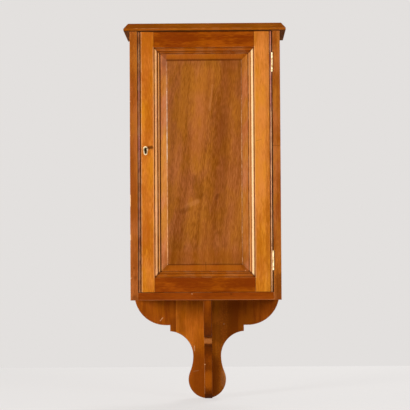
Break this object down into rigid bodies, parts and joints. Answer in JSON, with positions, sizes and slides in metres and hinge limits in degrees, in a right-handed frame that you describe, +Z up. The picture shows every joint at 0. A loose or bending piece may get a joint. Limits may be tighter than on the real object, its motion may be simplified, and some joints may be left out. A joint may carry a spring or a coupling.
{
  "type": "wall cabinet",
  "caption": "Wall-hung wooden cupboard with a panelled, lockable door on brass hinges, fixed shelves, a bevelled top and a back that runs down into a scrolled bracket.",
  "frame": {"origin": "on the wall, midway between the two hanging screw holes", "axes": "+Z up, +Y into the wall, so the front faces -Y; +X to the right seen from the front"},
  "size_m": [0.418, 0.205, 0.979],
  "materials": {
    "carcass_wood": "shellac, worn at the arrises",
    "inner_wood": "bare planed wood, dusty",
    "bracket_wood": "shellac, darker outside",
    "stile_wood": "shellac",
    "rail_wood": "shellac, redder and darker",
    "panel_wood": "shellac, streaked",
    "moulding_wood": "shellac",
    "brass": "pale rubbed brass",
    "lock_brass": "dull brass",
    "iron": "dark iron"
  },
  "bodies": {
    "carcass": {"top_board": "carcass_wood", "side_left": "carcass_wood", "side_right": "carcass_wood", "bottom_board": "carcass_wood", "shelf_lower": "inner_wood", "shelf_upper": "inner_wood", "hanging_rail": "inner_wood", "back_board_left": "bracket_wood", "back_board_middle": "bracket_wood", "back_board_right": "bracket_wood", "bracket_fin": "bracket_wood", "upper_hinge_side_leaf": "brass", "lower_hinge_side_leaf": "brass", "upper_hinge_pin": "brass", "lower_hinge_pin": "brass", "hinge_screws_side": "brass", "fin_screws": "iron", "back_nails": "iron", "top_nails": "iron"},
    "door": {"lock_stile": "stile_wood", "hinge_stile": "stile_wood", "top_rail": "rail_wood", "bottom_rail": "rail_wood", "door_panel": "panel_wood", "moulding_left": "moulding_wood", "moulding_right": "moulding_wood", "moulding_top": "moulding_wood", "moulding_bottom": "moulding_wood", "upper_hinge_door_leaf": "brass", "lower_hinge_door_leaf": "brass", "hinge_screws_door": "brass", "keyhole_escutcheon": "brass", "lock_plate": "lock_brass", "lock_cap": "lock_brass", "lock_screws": "lock_brass"},
    "bolt": {"lock_bolt": "lock_brass"}
  },
  "joints": [
    {"name": "door_hinge", "type": "hinge", "parent": "carcass", "child": "door", "pos_m": [0.17325, -0.1912, 0], "axis": [0, 0, 1], "range_deg": [0, 175]},
    {"name": "lock_bolt_slide", "type": "slide", "parent": "door", "child": "bolt", "axis": [-1, 0, 0], "range_m": [0, 0.008]}
  ]
}
